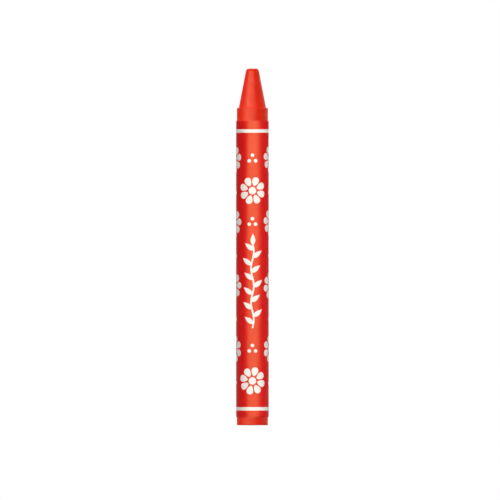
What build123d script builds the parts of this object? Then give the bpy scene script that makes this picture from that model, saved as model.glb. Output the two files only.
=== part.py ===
from build123d import *
from math import acos, degrees, sqrt
import os

# Wax crayon: one cast stick of coloured wax, and a strip of printed paper pasted round it in two turns.
# Millimetres. +Z runs along the stick towards the tip, and the origin is the centre of the butt end.
# The front faces -Y, and the lap of the paper is at the back.

# Wax stick
STICK_LENGTH = 90.0     # from the butt to the tip
STICK_DIAMETER = 7.86
CONE_LENGTH = 9.95      # from the ledge to the tip
LEDGE_WIDTH = 0.48      # flat ring around the foot of the cone
TIP_DIAMETER = 3.05     # flat end of the cone, before its edge is rounded
TIP_ROUNDING = 0.75
EDGE_ROUNDING = 0.15    # cast edges of the ledge and of the butt

# Paper label
SHOULDER_BARE = 3.25    # wax left bare between the label and the ledge
BUTT_BARE = 2.1         # wax left bare between the label and the butt
PAPER_THICKNESS = 0.07
PASTE_THICKNESS = 0.025
LABEL_TURNS = 2
SEAM_ANGLE = 90.0       # where the inner end of the strip lies, seen from the tip

# Sizes that follow from those above
STICK_RADIUS = STICK_DIAMETER / 2
LEDGE_HEIGHT = STICK_LENGTH - CONE_LENGTH
CONE_RADIUS = STICK_RADIUS - LEDGE_WIDTH
LABEL_TOP = LEDGE_HEIGHT - SHOULDER_BARE
LABEL_LENGTH = LABEL_TOP - BUTT_BARE

# The strip climbs over its own inner end on a straight ramp, tangent to the turn below
LAYER = PAPER_THICKNESS + PASTE_THICKNESS
STEP_RADIUS = STICK_RADIUS + LAYER
RAMP_ANGLE = degrees(acos(STICK_RADIUS / STEP_RADIUS))
RAMP_LENGTH = sqrt(STEP_RADIUS**2 - STICK_RADIUS**2)


def draw_wound_line(depth):
    """Draws the line at this depth above the strip's pasted face, and returns its inner and outer end."""
    step_corner = Vector(STEP_RADIUS, 0).rotate(Axis.Z, SEAM_ANGLE)
    for turn in range(LABEL_TURNS):
        rise = turn * LAYER + depth
        around = CenterArc((0, 0), STICK_RADIUS + rise, SEAM_ANGLE, 360 - RAMP_ANGLE)
        if turn == 0:
            inner_end = around @ 0
        if turn < LABEL_TURNS - 1:
            PolarLine(around @ 1, RAMP_LENGTH, direction=around % 1)
            if rise > 0:
                CenterArc(step_corner, rise, SEAM_ANGLE - RAMP_ANGLE, RAMP_ANGLE)
    return inner_end, around @ 1


def draw_strip_section(low, high):
    """Draws the outline of what lies between two depths of the strip, seen along the stick."""
    low_inner_end, low_outer_end = draw_wound_line(low)
    high_inner_end, high_outer_end = draw_wound_line(high)
    Line(low_inner_end, high_inner_end)
    Line(low_outer_end, high_outer_end)


os.makedirs("parts", exist_ok=True)

# Wax stick: one casting, turned from its half profile
with BuildPart() as wax_stick:
    with BuildSketch(Plane.XZ):
        with BuildLine():
            Polyline(
                (0, 0),
                (STICK_RADIUS, 0),
                (STICK_RADIUS, LEDGE_HEIGHT),
                (CONE_RADIUS, LEDGE_HEIGHT),
                (TIP_DIAMETER / 2, STICK_LENGTH),
                (0, STICK_LENGTH),
                close=True,
            )
        make_face()
    revolve(axis=Axis.Z)
    rims = wax_stick.edges().filter_by(GeomType.CIRCLE)
    butt_rim = rims.sort_by(Axis.Z)[0]
    tip_rim = rims.sort_by(Axis.Z)[-1]
    ledge_rim = rims.filter_by_position(Axis.Z, LEDGE_HEIGHT, LEDGE_HEIGHT).sort_by(SortBy.RADIUS)[-1]
    fillet([butt_rim, ledge_rim], EDGE_ROUNDING)
    fillet(tip_rim, TIP_ROUNDING)
wax_stick.part.label = "wax_stick"
export_step(wax_stick.part, "parts/wax_stick.step")

# Paste: the film on the back of the strip, under both turns
with BuildPart() as label_paste:
    with BuildSketch(Plane.XY.offset(BUTT_BARE)):
        with BuildLine():
            draw_strip_section(0, PASTE_THICKNESS)
        make_face()
    extrude(amount=LABEL_LENGTH)
label_paste.part.label = "label_paste"
export_step(label_paste.part, "parts/label_paste.step")

# Label: the paper strip itself, on top of its paste
with BuildPart() as paper_label:
    with BuildSketch(Plane.XY.offset(BUTT_BARE)):
        with BuildLine():
            draw_strip_section(PASTE_THICKNESS, LAYER)
        make_face()
    extrude(amount=LABEL_LENGTH)
paper_label.part.label = "paper_label"
export_step(paper_label.part, "parts/paper_label.step")
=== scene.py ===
import math
import random

import bpy
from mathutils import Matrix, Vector
from mathutils.geometry import delaunay_2d_cdt


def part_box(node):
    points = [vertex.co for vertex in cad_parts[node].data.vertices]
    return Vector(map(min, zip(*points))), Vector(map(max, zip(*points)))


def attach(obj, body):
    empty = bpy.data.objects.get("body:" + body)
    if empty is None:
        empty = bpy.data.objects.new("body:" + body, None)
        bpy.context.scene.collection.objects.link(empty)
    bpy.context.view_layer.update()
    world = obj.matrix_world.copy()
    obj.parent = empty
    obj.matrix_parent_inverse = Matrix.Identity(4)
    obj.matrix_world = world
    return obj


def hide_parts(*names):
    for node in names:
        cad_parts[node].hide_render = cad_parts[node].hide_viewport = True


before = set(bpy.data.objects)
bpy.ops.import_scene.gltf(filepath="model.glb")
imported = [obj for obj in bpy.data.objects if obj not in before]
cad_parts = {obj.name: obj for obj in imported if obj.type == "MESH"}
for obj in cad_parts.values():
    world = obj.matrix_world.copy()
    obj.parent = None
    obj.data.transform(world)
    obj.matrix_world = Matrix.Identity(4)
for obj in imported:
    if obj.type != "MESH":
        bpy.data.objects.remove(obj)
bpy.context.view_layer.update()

# A wax crayon in a wound paper label, standing on its butt. Metres. The front of the label faces -Y.

MM = 0.001
TURN = 2 * math.pi
random.seed(7)

# Sizes read from the frame
_, stick_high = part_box("wax_stick")
_, paste_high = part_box("label_paste")
label_low, label_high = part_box("paper_label")
STICK_RADIUS = stick_high.x
STICK_LENGTH = stick_high.z
LABEL_BOTTOM = label_low.z
LABEL_TOP = label_high.z
LABEL_RADIUS = label_high.y
PAPER_THICKNESS = LABEL_RADIUS - paste_high.y

# Wax stick, as cast
CONE_LENGTH = 9.95 * MM
LEDGE_WIDTH = 0.48 * MM
TIP_RADIUS = 1.525 * MM
TIP_ROUNDING = 0.75 * MM
EDGE_ROUNDING = 0.15 * MM
FOOT_ROUNDING = 0.10 * MM       # hollow corner where the cone meets its ledge
WAX_SEGMENTS = 192
ARC_STEPS = 8
BARE_RING_STEP = 0.35 * MM      # between rings where the wax is bare
HIDDEN_RING_STEP = 5.0 * MM     # between rings under the label

# Faint waves of the cast skin
WAVE_DEPTH = 0.010 * MM
WAVE_ROUNDS = (1, 2, 3, 5)      # how often a wave repeats round the stick
WAVE_CLIMBS = (90, 210, 430)    # how often it repeats in a metre of height, before its own spread
WAVE_CLIMB_SPREAD = (0.8, 1.2)
WAVE_FADE = 2 * BARE_RING_STEP  # from the label's end to where the waves have their full depth

# Wound label: the strip climbs over its own inner end on a ramp, at the back
LAYER = (LABEL_RADIUS - STICK_RADIUS) / 2
FIRST_RADIUS = STICK_RADIUS + LAYER
SEAM_ANGLE = TURN / 4
RAMP_ANGLE = math.acos(STICK_RADIUS / FIRST_RADIUS)
FIRST_TURN = FIRST_RADIUS * (TURN - RAMP_ANGLE)
RAMP_LENGTH = math.sqrt(FIRST_RADIUS**2 - STICK_RADIUS**2)
BEND_LENGTH = LAYER * RAMP_ANGLE
SECOND_TURN = LABEL_RADIUS * (TURN - RAMP_ANGLE)
SECOND_START = FIRST_TURN + RAMP_LENGTH + BEND_LENGTH
STRIP_LENGTH = SECOND_START + SECOND_TURN
FRONT = SECOND_START + LABEL_RADIUS * TURN / 2

# Lap: the free edge of the strip stands off a little, more in some places than in others
LAP_LIFT = 0.05 * MM
LAP_LIFT_REACH = 1.4 * MM
LAP_LIFT_MEAN = 0.6
LAP_LIFT_WAVES = ((0.25, 260, 0), (0.15, 710, 1))   # share, radians in a metre of height, start

# Mesh of the label
HIDDEN_COLUMN_STEP = 0.5 * MM
COLUMN_STEP = 0.25 * MM
ROW_STEP = 0.8 * MM
HULL_TRIANGLES = 0              # asks the triangulation for triangles that fill the whole hull
WELD_MM = 1e-5                  # points nearer than this, in millimetres, are one
INKED = 0                       # places in the label's list of materials
UNPRINTED = 1

# Print on the label: two white bands, white flowers and dots in a half-drop pattern, and a leafy stem
BAND_WIDTH = 0.87 * MM
TOP_BAND_GAP = 2.12 * MM        # red left above the top band
BOTTOM_BAND_GAP = 1.62 * MM     # red left below the bottom band
COLUMN_PITCH = 6.6 * MM         # a little over a quarter of the way round, so the lap is out of register
ROW_PITCH = 16.0 * MM
FIRST_ROW = 11.2 * MM           # height of the lowest flowers
FLOWER_ROWS = 4
FLOWER_COLUMNS = range(-3, 4)   # 0 is the front
FLOWER_RADIUS = 3.5 * MM
PETALS = 8
EYE_RADIUS = 0.95 * MM
EYE_GAP = 0.30 * MM
PETAL_HALF_WIDTH = 0.82 * MM
PETAL_TAPER = 0.35
PETAL_POINTS = 26
DOT_RADIUS = 0.46 * MM
DOT_RING = 0.92 * MM            # from the middle of a group of dots to each dot
DOTS = 3
DOT_POINTS = 14
STEM_BOTTOM = 24.5 * MM
STEM_TOP = 46.0 * MM
STEM_WIDTH = 0.42 * MM
STEM_SWING = 0.35 * MM
STEM_WAVES = 2.5
STEM_STEPS = 40
LEAVES = 11
FIRST_LEAF = 0.6                # height of the lowest leaf, as a share of the step between leaves
LEAF_LENGTH = 2.9 * MM
LEAF_HALF_WIDTH = 0.62 * MM
LEAF_ANGLE = math.radians(38)   # above level
LEAF_FULLNESS = 0.75            # under 1, a leaf is broadest nearer its root
LEAF_POINTS = 11                # along each side

# Noise: nearly all of its values lie between these two
NOISE_LOW = 0.3
NOISE_HIGH = 0.7

# Studio
FLOOR_RADIUS = 0.7
FLOOR_SIDES = 96
FLOOR_DROP = 0.02 * MM          # keeps the floor's face off the butt's
FLOOR_GLOW = 0.20               # share of the floor's paleness that is its own
FLOOR_SHOWS = 0.02              # from 0 at its rim to 1 in its middle: where it starts to show
FLOOR_FULL = 0.5                # and where it is full
AMBIENT = 0.06
SIDE_GREY = 0.20
SCREEN_STARTS = 0.990           # how straight a direction is along X or Y where a white screen starts
SCREEN_FULL = 0.998             # and where it is full
SOFTBOX_DISTANCE = 1.00
SOFTBOX_ELEVATION = 14
SOFTBOX_SIZE = (0.55, 0.56)
RIM_BOX_SIZE = (0.17, 0.56)
SHEEN_ELEVATION = 9
SHEEN_HEIGHT = 0.40
REAR_BOX = {"elevation": 30, "distance": 0.80, "size": (0.50, 0.50)}
TOP_BOX = {"elevation": 89, "distance": 0.80, "size": (0.60, 0.60)}

# Photograph: where the crayon lies in its frame, in pixels
PHOTO_PX = 500
AXIS_PX = 252.42
TIP_PX = 68.56
BASE_PX = 425.28
METRES_PER_PX = STICK_LENGTH / (BASE_PX - TIP_PX)
CAMERA_DISTANCE = 0.5


def polar(radius, angle):
    return Vector((radius * math.cos(angle), radius * math.sin(angle)))


def add_mesh(name, vertices, faces):
    mesh = bpy.data.meshes.new(name)
    mesh.from_pydata(vertices, [], faces)
    mesh.update()
    for polygon in mesh.polygons:
        polygon.use_smooth = True
    made = bpy.data.objects.new(name, mesh)
    bpy.context.scene.collection.objects.link(made)
    return made


# Wax stick

def arc(centre, radius, start, end):
    """Points of a profile's arc, as (distance from the axis, height), between two angles in degrees."""
    points = []
    for step in range(ARC_STEPS + 1):
        angle = math.radians(start + (end - start) * step / ARC_STEPS)
        points.append((centre[0] + radius * math.cos(angle), centre[1] + radius * math.sin(angle)))
    return points


def stick_profile():
    """Half profile of the stick, from the rim of the flat butt to the rim of the flat tip."""
    ledge = STICK_LENGTH - CONE_LENGTH
    cone_foot = STICK_RADIUS - LEDGE_WIDTH
    slope = math.atan2(cone_foot - TIP_RADIUS, CONE_LENGTH)
    lean = math.degrees(slope)

    # The tip's rounding touches the flat end and the cone, and the hollow corner the ledge and the cone
    inset = (1 - math.sin(slope)) / math.cos(slope)
    tip_centre = (TIP_RADIUS - TIP_ROUNDING * inset, STICK_LENGTH - TIP_ROUNDING)
    foot_centre = (cone_foot + FOOT_ROUNDING * inset, ledge + FOOT_ROUNDING)
    return [
        *arc((STICK_RADIUS - EDGE_ROUNDING, EDGE_ROUNDING), EDGE_ROUNDING, -90, 0),
        (STICK_RADIUS, LABEL_BOTTOM),
        (STICK_RADIUS, LABEL_TOP),
        *arc((STICK_RADIUS - EDGE_ROUNDING, ledge - EDGE_ROUNDING), EDGE_ROUNDING, 0, 90),
        *arc(foot_centre, FOOT_ROUNDING, 270, 180 + lean),
        *arc(tip_centre, TIP_ROUNDING, lean, 90),
    ]


def spaced(profile):
    """The same profile with points added: close together where the wax is bare, and few under the label."""
    points = [profile[0]]
    for start, end in zip(profile, profile[1:]):
        hidden = LABEL_BOTTOM <= start[1] and end[1] <= LABEL_TOP
        step = HIDDEN_RING_STEP if hidden else BARE_RING_STEP
        pieces = max(1, math.ceil(math.dist(start, end) / step))
        for piece in range(1, pieces + 1):
            share = piece / pieces
            points.append(tuple(here + (there - here) * share for here, there in zip(start, end)))
    return points


def bare_wax(height):
    """1 where the wax is bare, and 0 under the label."""
    below = (LABEL_BOTTOM - height) / WAVE_FADE
    above = (height - LABEL_TOP) / WAVE_FADE
    return max(0.0, min(1.0, max(below, above)))


def cast_waves():
    """Slow waves of the cast skin: repeats round the stick, repeats in a metre, start and share of each."""
    waves = []
    for rounds in WAVE_ROUNDS:
        for climb in WAVE_CLIMBS:
            climbs = climb * random.uniform(*WAVE_CLIMB_SPREAD)
            start = random.uniform(0, TURN)
            waves.append((rounds, climbs, start, 1 / rounds))
    return waves


def wave_depth(waves, radius, angle, height):
    """How far the skin lies under its true shape, which is less near the axis."""
    total = sum(share for _, _, _, share in waves)
    wave = sum(
        share * math.sin(rounds * angle + climbs * height * TURN + start)
        for rounds, climbs, start, share in waves
    )
    return WAVE_DEPTH * (0.5 + 0.5 * wave / total) * bare_wax(height) * min(1.0, radius / STICK_RADIUS)


def make_wax_stick():
    waves = cast_waves()
    rings = spaced([(0.0, 0.0), *stick_profile(), (0.0, STICK_LENGTH)])[1:-1]

    vertices = [(0.0, 0.0, 0.0)]
    for radius, height in rings:
        for segment in range(WAX_SEGMENTS):
            angle = TURN * segment / WAX_SEGMENTS
            uneven = radius - wave_depth(waves, radius, angle, height)
            vertices.append((*polar(uneven, angle), height))
    vertices.append((0.0, 0.0, STICK_LENGTH))

    faces = []
    last = len(vertices) - 1
    top_ring = last - WAX_SEGMENTS
    for segment in range(WAX_SEGMENTS):
        beside = (segment + 1) % WAX_SEGMENTS
        faces.append((0, 1 + beside, 1 + segment))
        faces.append((top_ring + segment, top_ring + beside, last))
        for ring in range(len(rings) - 1):
            low = 1 + ring * WAX_SEGMENTS
            high = low + WAX_SEGMENTS
            faces.append((low + segment, low + beside, high + beside, high + segment))
    return add_mesh("cast_wax", vertices, faces)


# Print on the label

def circle_outline(centre, radius, count):
    points = []
    for step in range(count):
        angle = TURN * step / count
        points.append((centre[0] + radius * math.cos(angle), centre[1] + radius * math.sin(angle)))
    return points


def turned_point(centre, direction, out, across):
    """The point this far out from the centre in that direction, and this far to its left."""
    return (
        centre[0] + out * math.cos(direction) - across * math.sin(direction),
        centre[1] + out * math.sin(direction) + across * math.cos(direction),
    )


def petal_outline(centre, direction):
    """An egg with its broad end outwards."""
    inner = EYE_RADIUS + EYE_GAP
    middle = (FLOWER_RADIUS + inner) / 2
    half_length = (FLOWER_RADIUS - inner) / 2
    points = []
    for step in range(PETAL_POINTS):
        angle = TURN * step / PETAL_POINTS
        out = middle + half_length * math.cos(angle)
        across = PETAL_HALF_WIDTH * math.sin(angle) * (1 + PETAL_TAPER * math.cos(angle))
        points.append(turned_point(centre, direction, out, across))
    return points


def flower_outlines(centre, turned):
    outlines = [circle_outline(centre, EYE_RADIUS, PETAL_POINTS)]
    for petal in range(PETALS):
        outlines.append(petal_outline(centre, turned + TURN * petal / PETALS))
    return outlines


def dot_outlines(centre):
    """A ring of dots, with one of them on top."""
    outlines = []
    for dot in range(DOTS):
        direction = TURN * (dot / DOTS + 0.25)
        middle = turned_point(centre, direction, DOT_RING, 0)
        outlines.append(circle_outline(middle, DOT_RADIUS, DOT_POINTS))
    return outlines


def leaf_outline(root, direction):
    """A leaf with a pointed tip, broadest near its root."""
    right = []
    left = []
    for step in range(LEAF_POINTS):
        share = step / (LEAF_POINTS - 1)
        across = LEAF_HALF_WIDTH * math.sin(math.pi * share**LEAF_FULLNESS)
        right.append(turned_point(root, direction, LEAF_LENGTH * share, -across))
        left.append(turned_point(root, direction, LEAF_LENGTH * share, across))
    # Both sides share one point at the root and one at the tip
    return right + left[-2:0:-1]


def stem_point(share):
    """A point of the stem's middle line, by its share of the way up."""
    swing = STEM_SWING * math.sin(TURN * STEM_WAVES * share)
    return FRONT + swing, STEM_BOTTOM + (STEM_TOP - STEM_BOTTOM) * share


def stem_outlines():
    """A stem up the middle of the front, with leaves on either side in turn and one at its top."""
    stem = [stem_point(step / STEM_STEPS) for step in range(STEM_STEPS + 1)]
    right = [(along + STEM_WIDTH / 2, height) for along, height in stem]
    left = [(along - STEM_WIDTH / 2, height) for along, height in reversed(stem)]
    outlines = [right + left]
    for leaf in range(LEAVES):
        root = stem_point((leaf + FIRST_LEAF) / (LEAVES + FIRST_LEAF))
        direction = LEAF_ANGLE if leaf % 2 else math.pi - LEAF_ANGLE
        outlines.append(leaf_outline(root, direction))
    outlines.append(leaf_outline(stem[-2], TURN / 4))
    return outlines


def on_stem(column, height):
    """Whether a flower or a group of dots here would lie on the stem."""
    return column == 0 and STEM_BOTTOM < height + DOT_RING and height - DOT_RING < STEM_TOP


def pattern_outlines():
    """The stem, the flowers and the dots, as closed outlines in (along, height)."""
    outlines = stem_outlines()
    for column in FLOWER_COLUMNS:
        along = FRONT + column * COLUMN_PITCH
        for row in range(FLOWER_ROWS):
            flower_height = FIRST_ROW + row * ROW_PITCH
            dots_height = flower_height + ROW_PITCH / 2
            if column % 2:
                flower_height, dots_height = dots_height, flower_height
            turned = random.uniform(0, TURN / PETALS)
            if not on_stem(column, flower_height):
                outlines += flower_outlines((along, flower_height), turned)
            if not on_stem(column, dots_height):
                outlines += dot_outlines((along, dots_height))
    return outlines


def band_outline(low, high, columns):
    return [(along, low) for along in columns] + [(along, high) for along in reversed(columns)]


def strip_outlines(columns):
    """Closed outlines in (along, height): first the whole strip, then each area left unprinted."""
    top_band = LABEL_TOP - TOP_BAND_GAP
    bottom_band = LABEL_BOTTOM + BOTTOM_BAND_GAP
    return [
        band_outline(LABEL_BOTTOM, LABEL_TOP, columns),
        band_outline(top_band - BAND_WIDTH, top_band, columns),
        band_outline(bottom_band, bottom_band + BAND_WIDTH, columns),
        *pattern_outlines(),
    ]


# Wound label

def wound(along):
    """Place and outward direction on the printed face, this far along the strip from its inner end."""
    if along <= FIRST_TURN:
        outward = polar(1, SEAM_ANGLE + along / FIRST_RADIUS)
        return outward * FIRST_RADIUS, outward
    along -= FIRST_TURN
    outward = polar(1, SEAM_ANGLE - RAMP_ANGLE)
    if along <= RAMP_LENGTH:
        uphill = Vector((-outward.y, outward.x))
        return outward * FIRST_RADIUS + uphill * along, outward
    along -= RAMP_LENGTH
    if along <= BEND_LENGTH:
        outward = polar(1, SEAM_ANGLE - RAMP_ANGLE + along / LAYER)
        return polar(FIRST_RADIUS, SEAM_ANGLE) + outward * LAYER, outward
    along -= BEND_LENGTH
    outward = polar(1, SEAM_ANGLE + along / LABEL_RADIUS)
    return outward * LABEL_RADIUS, outward


def lap_lift(along, height):
    """How far the free edge at the strip's outer end stands off."""
    near = max(0.0, 1 - (STRIP_LENGTH - along) / LAP_LIFT_REACH)
    uneven = LAP_LIFT_MEAN
    for share, rate, start in LAP_LIFT_WAVES:
        uneven += share * math.sin(height * rate + start)
    return LAP_LIFT * uneven * near * near


def ladder(low, high, step):
    """Evenly spaced values from low to high, no further apart than step."""
    pieces = max(1, math.ceil((high - low) / step))
    return [low + (high - low) * piece / pieces for piece in range(pieces + 1)]


def strip_columns():
    """Distances along the strip that carry a column of points: far apart in the hidden turn only."""
    columns = ladder(0, FIRST_TURN, HIDDEN_COLUMN_STEP)[:-1]
    columns += ladder(FIRST_TURN, FIRST_TURN + RAMP_LENGTH, COLUMN_STEP)
    columns += ladder(SECOND_START, STRIP_LENGTH, COLUMN_STEP)
    return columns


def flat_strip():
    """The strip laid flat: its points in (along, height), its triangles and the material of each."""
    columns = strip_columns()
    points = []
    areas = []
    for outline in strip_outlines(columns):
        areas.append(list(range(len(points), len(points) + len(outline))))
        points += outline
    rows = ladder(LABEL_BOTTOM, LABEL_TOP, ROW_STEP)[1:-1]
    for along in columns:
        points += [(along, height) for height in rows]

    # The triangulation is done in millimetres, where its tolerance suits the print
    flat = [Vector((along / MM, height / MM)) for along, height in points]
    flat, _, triangles, _, _, owners = delaunay_2d_cdt(flat, [], areas, HULL_TRIANGLES, WELD_MM)

    # The first area is the whole strip, and any other that a triangle lies in is unprinted
    kept = [(triangle, owner) for triangle, owner in zip(triangles, owners) if 0 in owner]
    materials = [UNPRINTED if len(owner) > 1 else INKED for _, owner in kept]
    used = sorted({corner for triangle, _ in kept for corner in triangle})
    place = {corner: index for index, corner in enumerate(used)}
    strip = [tuple(place[corner] for corner in triangle) for triangle, _ in kept]
    places = [(flat[corner].x * MM, flat[corner].y * MM) for corner in used]
    return places, strip, materials


def make_label():
    """The strip wound round the stick, with its printed face, its back and its cut edges."""
    points, printed, materials = flat_strip()
    outer = []
    inner = []
    for along, height in points:
        point, outward = wound(along)
        point = point + outward * lap_lift(along, height)
        back = point - outward * PAPER_THICKNESS
        outer.append((point.x, point.y, height))
        inner.append((back.x, back.y, height))

    # The cut edges close the gap between the two faces
    count = len(outer)
    sides = [side for triangle in printed for side in zip(triangle, triangle[1:] + triangle[:1])]
    known = set(sides)
    rim = [(start, end) for start, end in sides if (end, start) not in known]
    back_rim = [(start + count, end + count) for start, end in rim]
    faces = list(printed)
    faces += [tuple(corner + count for corner in reversed(triangle)) for triangle in printed]
    faces += [(end, start, start + count, end + count) for start, end in rim]
    materials = materials + [UNPRINTED] * (len(printed) + len(rim))

    label = add_mesh("wound_label", outer + inner, faces)
    for polygon, index in zip(label.data.polygons, materials):
        polygon.material_index = index
    sharp = {frozenset(side) for side in rim + back_rim}
    for edge in label.data.edges:
        edge.use_edge_sharp = frozenset(edge.vertices) in sharp
    return label


# Materials

class Finish:
    """A material and short ways to add nodes to it."""

    def __init__(self, name):
        self.material = bpy.data.materials.new(name)
        self.material.use_nodes = True
        self.nodes = self.material.node_tree.nodes
        self.links = self.material.node_tree.links
        self.shader = self.nodes["Principled BSDF"]
        self.place = self.nodes.new("ShaderNodeTexCoord").outputs["Object"]

    def scaled_place(self, scale):
        mapping = self.nodes.new("ShaderNodeMapping")
        mapping.inputs["Scale"].default_value = scale
        self.links.new(self.place, mapping.inputs["Vector"])
        return mapping.outputs["Vector"]

    def noise(self, per_metre, detail=3.0, upright=1.0):
        """Noise of so many spots to the metre. An upright under 1 draws it out along the stick."""
        texture = self.nodes.new("ShaderNodeTexNoise")
        texture.inputs["Scale"].default_value = per_metre
        texture.inputs["Detail"].default_value = detail
        self.links.new(self.scaled_place((1, 1, upright)), texture.inputs["Vector"])
        return texture.outputs["Fac"]

    def ramp(self, source, low, first, high, second):
        """Goes from the first colour, where the source is low, to the second, where it is high."""
        made = self.nodes.new("ShaderNodeValToRGB")
        for element, position, colour in zip(made.color_ramp.elements, (low, high), (first, second)):
            element.position = position
            element.color = (*colour, 1)
        self.links.new(source, made.inputs["Fac"])
        return made.outputs["Color"]

    def mottle(self, noise, dark, pale):
        return self.ramp(noise, NOISE_LOW, dark, NOISE_HIGH, pale)

    def spread(self, source, low, high, start=NOISE_LOW, end=NOISE_HIGH):
        """Spreads the source's values between start and end over low to high."""
        made = self.nodes.new("ShaderNodeMapRange")
        made.inputs["From Min"].default_value = start
        made.inputs["From Max"].default_value = end
        made.inputs["To Min"].default_value = low
        made.inputs["To Max"].default_value = high
        self.links.new(source, made.inputs["Value"])
        return made.outputs["Result"]

    def mix(self, factor, source, colour):
        """The source's colour, with this one over it by the factor."""
        made = self.nodes.new("ShaderNodeMix")
        made.data_type = "RGBA"
        made.inputs["B"].default_value = (*colour, 1)
        self.links.new(factor, made.inputs["Factor"])
        self.links.new(source, made.inputs["A"])
        return made.outputs["Result"]

    def bump(self, source, depth, strength=1.0, under=None):
        made = self.nodes.new("ShaderNodeBump")
        made.inputs["Distance"].default_value = depth
        made.inputs["Strength"].default_value = strength
        self.links.new(source, made.inputs["Height"])
        if under is not None:
            self.links.new(under, made.inputs["Normal"])
        return made.outputs["Normal"]

    def feed(self, socket, source):
        self.links.new(source, self.shader.inputs[socket])

    def fix(self, socket, value):
        self.shader.inputs[socket].default_value = value


def wax_finish():
    """Cast wax: a faintly clouded red with a satin skin, drawn in fine lines where it left its mould."""
    made = Finish("red_wax")
    cloud = made.noise(per_metre=260, detail=7)
    sheen = made.noise(per_metre=1100, detail=4, upright=0.5)
    grain = made.noise(per_metre=4000, detail=3)
    drawn = made.noise(per_metre=2600, detail=2, upright=0.04)
    grained = made.bump(grain, depth=0.02 * MM, strength=0.7)
    made.feed("Base Color", made.mottle(cloud, dark=(0.69, 0.010, 0.003), pale=(0.81, 0.020, 0.005)))
    made.feed("Roughness", made.spread(sheen, low=0.33, high=0.50))
    made.feed("Normal", made.bump(drawn, depth=0.03 * MM, strength=0.7, under=grained))
    made.fix("Specular IOR Level", 0.44)
    made.fix("Specular Tint", (1.0, 0.90, 0.55, 1))
    made.fix("Subsurface Weight", 0.25)
    made.fix("Subsurface Radius", (1.0, 0.25, 0.12))
    made.fix("Subsurface Scale", 1.0 * MM)
    return made.material


def ink_finish():
    """Red ink on paper: mottled, with specks where it missed. A greenish sheen turns it orange."""
    made = Finish("red_ink")
    mottle = made.noise(per_metre=900, detail=4)
    fibre = made.noise(per_metre=5200, detail=3, upright=0.35)
    speck = made.noise(per_metre=9000, detail=1)
    solid = made.mottle(mottle, dark=(0.72, 0.002, 0.007), pale=(0.78, 0.003, 0.009))
    missed = made.spread(speck, low=0, high=0.35, start=0.74, end=0.80)
    made.feed("Base Color", made.mix(missed, solid, (0.88, 0.55, 0.46)))
    made.feed("Roughness", made.spread(fibre, low=0.34, high=0.44))
    made.feed("Normal", made.bump(fibre, depth=0.014 * MM, strength=0.7))
    made.fix("Specular IOR Level", 0.36)
    made.fix("Specular Tint", (0.35, 0.88, 0.34, 1))
    return made.material


def paper_finish():
    """Bare paper: warm white with faint fibres."""
    made = Finish("bare_paper")
    mottle = made.noise(per_metre=1500, detail=4)
    fibre = made.noise(per_metre=5200, detail=3, upright=0.35)
    made.feed("Base Color", made.mottle(mottle, dark=(0.90, 0.835, 0.76), pale=(0.95, 0.90, 0.83)))
    made.feed("Roughness", made.spread(fibre, low=0.55, high=0.7))
    made.feed("Normal", made.bump(fibre, depth=0.025 * MM, strength=0.7))
    made.fix("Specular IOR Level", 0.25)
    return made.material


def paste_finish():
    """Dry paste: off-white, brushed on in streaks."""
    made = Finish("dry_paste")
    streak = made.noise(per_metre=1200, detail=4, upright=0.3)
    made.feed("Base Color", made.mottle(streak, dark=(0.74, 0.66, 0.50), pale=(0.84, 0.78, 0.64)))
    made.feed("Roughness", made.spread(streak, low=0.4, high=0.6))
    made.feed("Normal", made.bump(streak, depth=0.004 * MM))
    return made.material


# Studio

def absolute(nodes, links, source):
    size = nodes.new("ShaderNodeMath")
    size.operation = "ABSOLUTE"
    links.new(source, size.inputs[0])
    return size.outputs["Value"]


def largest(nodes, links, sources):
    found = sources[0]
    for source in sources[1:]:
        larger = nodes.new("ShaderNodeMath")
        larger.operation = "MAXIMUM"
        links.new(found, larger.inputs[0])
        links.new(source, larger.inputs[1])
        found = larger.outputs["Value"]
    return found


def mixed_shader(nodes, links, factor, first, second):
    made = nodes.new("ShaderNodeMixShader")
    links.new(factor, made.inputs["Fac"])
    links.new(first, made.inputs[1])
    links.new(second, made.inputs[2])
    return made.outputs["Shader"]


def seen_rays(nodes, links):
    """1 for the rays of the camera, of reflections and of clear materials."""
    rays = nodes.new("ShaderNodeLightPath").outputs
    kinds = ("Is Camera Ray", "Is Glossy Ray", "Is Transmission Ray")
    return largest(nodes, links, [rays[kind] for kind in kinds])


def floor_finish():
    """Pale and matt, partly by a glow of its own, and fading out towards the floor's rim."""
    made = Finish("pale_floor")
    made.feed("Base Color", made.mottle(made.noise(per_metre=12), dark=(0.60,) * 3, pale=(0.62,) * 3))
    made.fix("Roughness", 1.0)
    made.fix("Specular IOR Level", 0.0)

    glow = made.nodes.new("ShaderNodeEmission").outputs["Emission"]
    share = made.nodes.new("ShaderNodeMath")
    share.operation = "MULTIPLY"
    share.inputs[1].default_value = FLOOR_GLOW
    made.links.new(seen_rays(made.nodes, made.links), share.inputs[0])
    matt = made.shader.outputs["BSDF"]
    pale = mixed_shader(made.nodes, made.links, share.outputs["Value"], matt, glow)

    fade = made.nodes.new("ShaderNodeTexGradient")
    fade.gradient_type = "SPHERICAL"
    made.links.new(made.scaled_place((1 / FLOOR_RADIUS,) * 3), fade.inputs["Vector"])
    shown = made.ramp(fade.outputs["Fac"], FLOOR_SHOWS, (0, 0, 0), FLOOR_FULL, (1, 1, 1))
    clear = made.nodes.new("ShaderNodeBsdfTransparent").outputs["BSDF"]
    faded = mixed_shader(made.nodes, made.links, shown, clear, pale)
    made.links.new(faded, made.nodes["Material Output"].inputs["Surface"])
    return made.material


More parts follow.
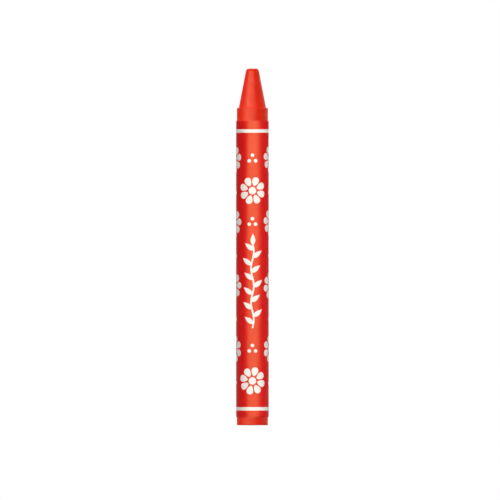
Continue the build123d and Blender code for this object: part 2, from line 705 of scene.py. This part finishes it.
def make_floor():
    """A pale disc under the crayon. It throws no light up at the crayon, whose edges then shade off."""
    vertices = [(0.0, 0.0, -FLOOR_DROP)]
    for side in range(FLOOR_SIDES):
        vertices.append((*polar(FLOOR_RADIUS, TURN * side / FLOOR_SIDES), -FLOOR_DROP))
    faces = [(0, 1 + side, 1 + (side + 1) % FLOOR_SIDES) for side in range(FLOOR_SIDES)]
    floor = add_mesh("floor", vertices, faces)
    floor.data.materials.append(floor_finish())
    floor.visible_diffuse = False
    return floor


def make_world():
    """A grey studio with a white screen in front, behind and on each side, and a weak light of its own."""
    world = bpy.data.worlds.new("studio")
    world.use_nodes = True
    nodes = world.node_tree.nodes
    links = world.node_tree.links
    ambient = nodes["Background"]
    ambient.inputs["Color"].default_value = (AMBIENT, AMBIENT, AMBIENT, 1)

    direction = nodes.new("ShaderNodeSeparateXYZ")
    links.new(nodes.new("ShaderNodeTexCoord").outputs["Generated"], direction.inputs["Vector"])
    level_parts = [absolute(nodes, links, direction.outputs[axis]) for axis in "XY"]
    shade = nodes.new("ShaderNodeValToRGB")
    shade.color_ramp.interpolation = "EASE"
    stops = ((SCREEN_STARTS, SIDE_GREY), (SCREEN_FULL, 1.0))
    for element, (position, grey) in zip(shade.color_ramp.elements, stops):
        element.position = position
        element.color = (grey, grey, grey, 1)
    links.new(largest(nodes, links, level_parts), shade.inputs["Fac"])
    backdrop = nodes.new("ShaderNodeBackground")
    links.new(shade.outputs["Color"], backdrop.inputs["Color"])

    seen = seen_rays(nodes, links)
    lit = mixed_shader(nodes, links, seen, ambient.outputs["Background"], backdrop.outputs["Background"])
    links.new(lit, nodes["World Output"].inputs["Surface"])
    bpy.context.scene.world = world


def lit_group(name, pieces):
    """A group of pieces, for a lamp that lights nothing else."""
    group = bpy.data.collections.new(name)
    for piece in pieces:
        group.objects.link(piece)
    return group


def add_softbox(name, azimuth, level, size=SOFTBOX_SIZE, elevation=SOFTBOX_ELEVATION,
                distance=SOFTBOX_DISTANCE, diffuse=True, glossy=True, only=None):
    """An area lamp aimed at the middle of the crayon. Azimuth 0 is the front, and 90 is the right.
    Level is about how bright a white card facing the lamp looks there, where 1 is white.
    Without diffuse it gives only a sheen, and without glossy none. Only names a group to light alone."""
    data = bpy.data.lights.new(name, "AREA")
    data.shape = "RECTANGLE"
    data.size, data.size_y = size
    data.energy = 4 * math.pi * level * distance**2
    lamp = bpy.data.objects.new(name, data)
    turned = math.radians(azimuth)
    raised = math.radians(elevation)
    aim = Vector((0, 0, STICK_LENGTH / 2))
    level_part = math.cos(raised)
    outward = Vector((math.sin(turned) * level_part, -math.cos(turned) * level_part, math.sin(raised)))
    lamp.location = aim + outward * distance
    lamp.rotation_euler = (-outward).to_track_quat("-Z", "Y").to_euler()
    lamp.visible_camera = False
    lamp.visible_diffuse = diffuse
    lamp.visible_glossy = glossy
    if only is not None:
        lamp.light_linking.receiver_collection = only
    bpy.context.scene.collection.objects.link(lamp)


def add_sheen(name, azimuth, level, width, only):
    """A lamp, set lower than the others, that gives only a sheen."""
    size = (width, SHEEN_HEIGHT)
    add_softbox(name, azimuth, level, size, SHEEN_ELEVATION, diffuse=False, only=only)


def add_camera():
    data = bpy.data.cameras.new("photo_view")
    data.type = "ORTHO"
    data.ortho_scale = PHOTO_PX * METRES_PER_PX
    camera = bpy.data.objects.new("photo_view", data)
    middle = PHOTO_PX / 2
    camera.location = (
        (middle - AXIS_PX) * METRES_PER_PX,
        -CAMERA_DISTANCE,
        (BASE_PX - middle) * METRES_PER_PX,
    )
    camera.rotation_euler = (math.radians(90), 0, 0)
    bpy.context.scene.collection.objects.link(camera)
    bpy.context.scene.camera = camera


# The crayon's pieces
wax = make_wax_stick()
wax.data.materials.append(wax_finish())
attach(wax, "root")
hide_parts("wax_stick")

label = make_label()
label.data.materials.append(ink_finish())
label.data.materials.append(paper_finish())
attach(label, "root")
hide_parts("paper_label")

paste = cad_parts["label_paste"]
paste.data.materials.clear()
paste.data.materials.append(paste_finish())

# Floor, backdrop and lamps: the wax is lit more from the left, and the label about evenly from both sides
floor = make_floor()
make_world()
label_side = lit_group("label_side", [label, paste])
wax_side = lit_group("wax_side", [wax, floor])
add_softbox("wax_far_left", azimuth=-47, level=0.38, only=wax_side)
add_softbox("wax_left", azimuth=-20, level=0.28, only=wax_side)
add_softbox("wax_middle", azimuth=4, level=0.26, only=wax_side)
add_softbox("wax_right", azimuth=87, level=0.37, glossy=False, only=wax_side)
add_softbox("wax_rim", azimuth=136, level=0.056, size=RIM_BOX_SIZE, diffuse=False, only=wax_side)
add_softbox("label_left", azimuth=-22, level=0.54, glossy=False, only=label_side)
add_softbox("label_right", azimuth=42, level=0.48, glossy=False, only=label_side)
add_sheen("label_sheen", azimuth=2, level=1.36, width=1.43, only=label_side)
add_sheen("rear_sheen", azimuth=178, level=0.19, width=0.33, only=label_side)
add_softbox("rear_left", azimuth=-150, level=0.40, glossy=False, **REAR_BOX)
add_softbox("rear_right", azimuth=150, level=0.40, glossy=False, **REAR_BOX)
add_softbox("rear_middle", azimuth=178, level=0.10)
add_softbox("top", azimuth=0, level=0.15, **TOP_BOX)
add_camera()
bpy.context.scene.view_settings.view_transform = "Standard"
